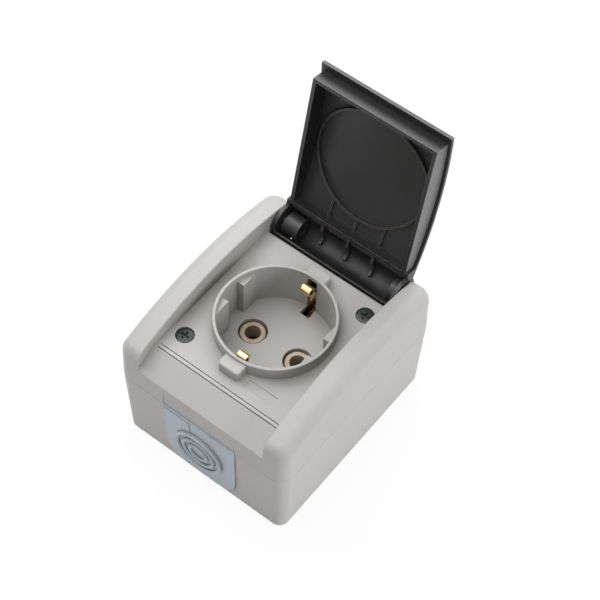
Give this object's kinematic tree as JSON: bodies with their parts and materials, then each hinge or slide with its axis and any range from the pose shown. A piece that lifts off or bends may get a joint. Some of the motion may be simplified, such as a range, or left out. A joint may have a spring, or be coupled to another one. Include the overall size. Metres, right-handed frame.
{
  "type": "outdoor weatherproof socket",
  "caption": "Surface-mounted weatherproof earthed socket outlet in light grey plastic with a dark sprung hinged lid standing open.",
  "frame": {"origin": "centre of the flat back face of the box", "axes": "+Z out of the wall through the socket well, -Y towards the cable entry side, +Y towards the lid hinge, +X right"},
  "size_m": [0.0696, 0.0969, 0.1098],
  "materials": {
    "body_grey": "fine matt moulded",
    "grommet_blue_grey": "soft satin",
    "gasket_black": "matt",
    "screw_black": "dark satin",
    "carrier_cream": "unglazed",
    "contact_brass": "bright",
    "fixing_steel": "zinc plated",
    "lid_anthracite": "fine matt moulded"
  },
  "bodies": {
    "socket_body": {"back_box": "body_grey", "front_cover": "body_grey", "cover_gasket": "gasket_black", "cover_screws": "screw_black", "cover_screw_seals": "gasket_black", "entry_grommet": "grommet_blue_grey", "insert_carrier": "carrier_cream", "contact_sleeve_left": "contact_brass", "contact_sleeve_right": "contact_brass", "terminal_clamp_left": "contact_brass", "terminal_clamp_right": "contact_brass", "terminal_screws": "fixing_steel", "earth_bracket": "contact_brass", "earth_clamp_plate": "fixing_steel", "earth_clamp_screw": "fixing_steel", "retaining_plate": "carrier_cream", "carrier_rivet": "contact_brass", "carrier_screws": "fixing_steel", "hinge_pin_left": "fixing_steel", "hinge_pin_right": "fixing_steel"},
    "lid_body": {"lid": "lid_anthracite", "lid_spring": "fixing_steel"}
  },
  "joints": [
    {"name": "lid_hinge", "type": "hinge", "parent": "socket_body", "child": "lid_body", "pos_m": [0, 0.0349, 0.0466], "axis": [1, 0, 0], "range_deg": [0, 101], "stiffness_Nm_per_rad": 0.0004, "springref_deg": 101.01}
  ]
}
